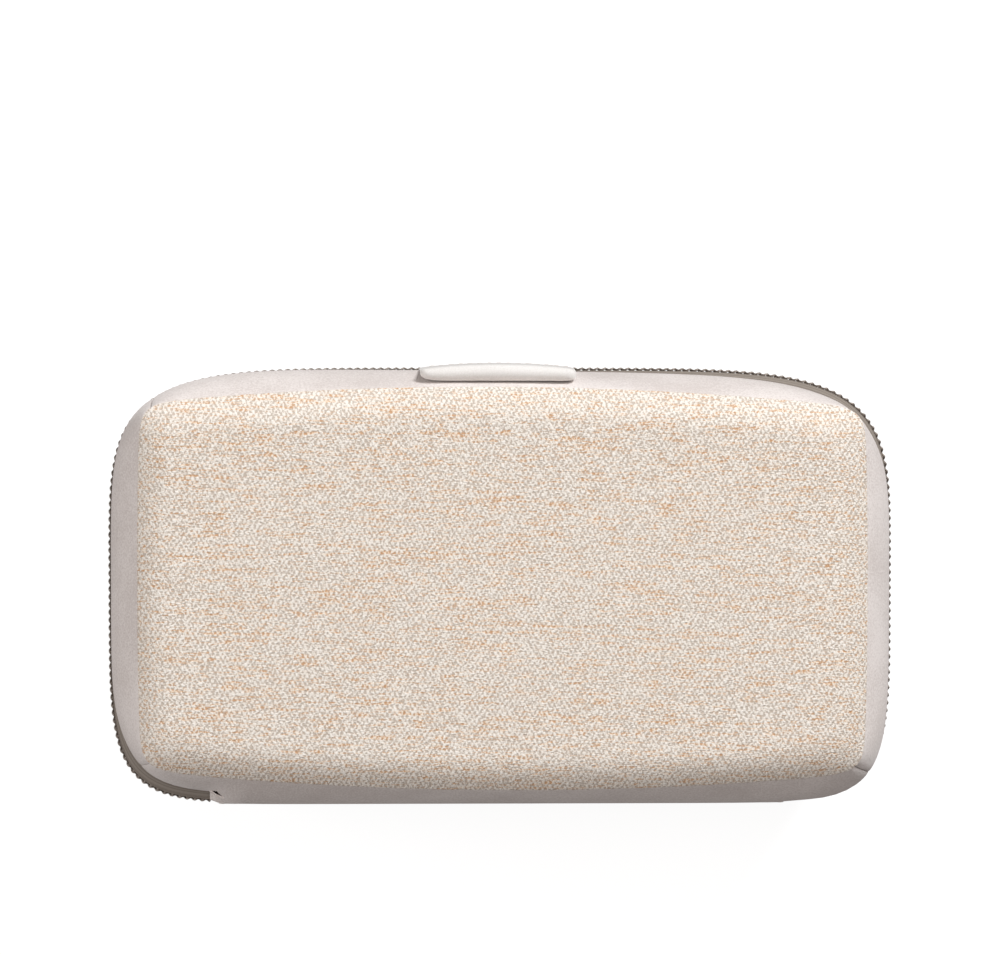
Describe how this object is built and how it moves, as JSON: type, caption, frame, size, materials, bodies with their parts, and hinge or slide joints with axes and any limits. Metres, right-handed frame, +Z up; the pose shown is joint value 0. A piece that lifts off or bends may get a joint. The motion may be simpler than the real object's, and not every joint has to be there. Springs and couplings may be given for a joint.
{
  "type": "jewelry box",
  "caption": "Flat zip-around travel jewelry case: a padded clamshell with a fabric face, zip sliders under a lift tab, ring rolls and trays inside, and a mirror and hooks in the lid.",
  "frame": {"origin": "middle of the flat underside, on the surface that the case lies on", "axes": "+Z up through the lid, +X along the long side, the opening and its lift tab at -Y and the hinge at +Y"},
  "size_m": [0.158, 0.0888, 0.046],
  "materials": {
    "face_fabric": "melange woven, matt, with warm flecks",
    "wall_fabric": "smooth matt microfibre",
    "core_foam": "moulded foam, matt",
    "zip_tape": "woven tape, matt",
    "zip_teeth": "nylon coil, satin",
    "suede": "microsuede, matt",
    "tab_fabric": "smooth padded microfibre",
    "hardware_metal": "satin champagne plating",
    "soft_trim": "matt moulded",
    "mirror_glass": "polished"
  },
  "bodies": {
    "base": {"base_core_shell": "core_foam", "base_wall_right": "wall_fabric", "base_wall_hinge": "wall_fabric", "base_wall_left": "wall_fabric", "base_wall_front": "wall_fabric", "base_face_panel": "face_fabric", "base_lining": "suede", "base_zip_tape": "zip_tape", "base_zip_coil": "zip_teeth", "hinge_spine_base": "wall_fabric", "ring_roll_1": "suede", "ring_roll_2": "suede", "ring_roll_3": "suede", "ring_roll_4": "suede", "ring_roll_5": "suede", "ring_bay_divider": "suede", "long_divider": "suede", "cross_divider": "suede"},
    "lid": {"lid_core_shell": "core_foam", "lid_wall_right": "wall_fabric", "lid_wall_hinge": "wall_fabric", "lid_wall_left": "wall_fabric", "lid_wall_front": "wall_fabric", "lid_face_panel": "face_fabric", "lid_lining": "suede", "lid_zip_tape": "zip_tape", "lid_zip_coil": "zip_teeth", "hinge_spine_lid": "wall_fabric", "mirror_frame": "soft_trim", "mirror_glass": "mirror_glass", "necklace_hook_strip": "hardware_metal", "necklace_hook_1": "hardware_metal", "necklace_hook_2": "hardware_metal", "necklace_hook_3": "hardware_metal", "necklace_hook_4": "hardware_metal", "necklace_pocket": "suede"},
    "lift_tab": {"lift_tab": "tab_fabric"},
    "slider_left": {"slider_left": "hardware_metal"},
    "slider_right": {"slider_right": "hardware_metal"},
    "pull_left": {"pull_link_left": "hardware_metal", "pull_grip_left": "soft_trim"},
    "pull_right": {"pull_link_right": "hardware_metal", "pull_grip_right": "soft_trim"}
  },
  "joints": [
    {"name": "lid_hinge", "type": "hinge", "parent": "base", "child": "lid", "pos_m": [0, 0.0442, 0.023], "axis": [-1, 0, 0], "range_deg": [0, 180]},
    {"name": "lift_tab_flip", "type": "hinge", "parent": "lid", "child": "lift_tab", "pos_m": [0, -0.0439, 0.0273], "axis": [1, 0, 0], "range_deg": [0, 85], "stiffness_Nm_per_rad": 0.003},
    {"name": "slider_left_travel", "type": "slide", "parent": "base", "child": "slider_left", "axis": [-1, 0, 0], "range_m": [0, 0.026]},
    {"name": "slider_right_travel", "type": "slide", "parent": "base", "child": "slider_right", "axis": [1, 0, 0], "range_m": [0, 0.026]},
    {"name": "pull_left_swing", "type": "hinge", "parent": "slider_left", "child": "pull_left", "pos_m": [-0.0055, -0.0442, 0.019], "axis": [-1, 0, 0], "range_deg": [0, 90]},
    {"name": "pull_right_swing", "type": "hinge", "parent": "slider_right", "child": "pull_right", "pos_m": [0.0055, -0.0442, 0.019], "axis": [-1, 0, 0], "range_deg": [0, 90]}
  ]
}
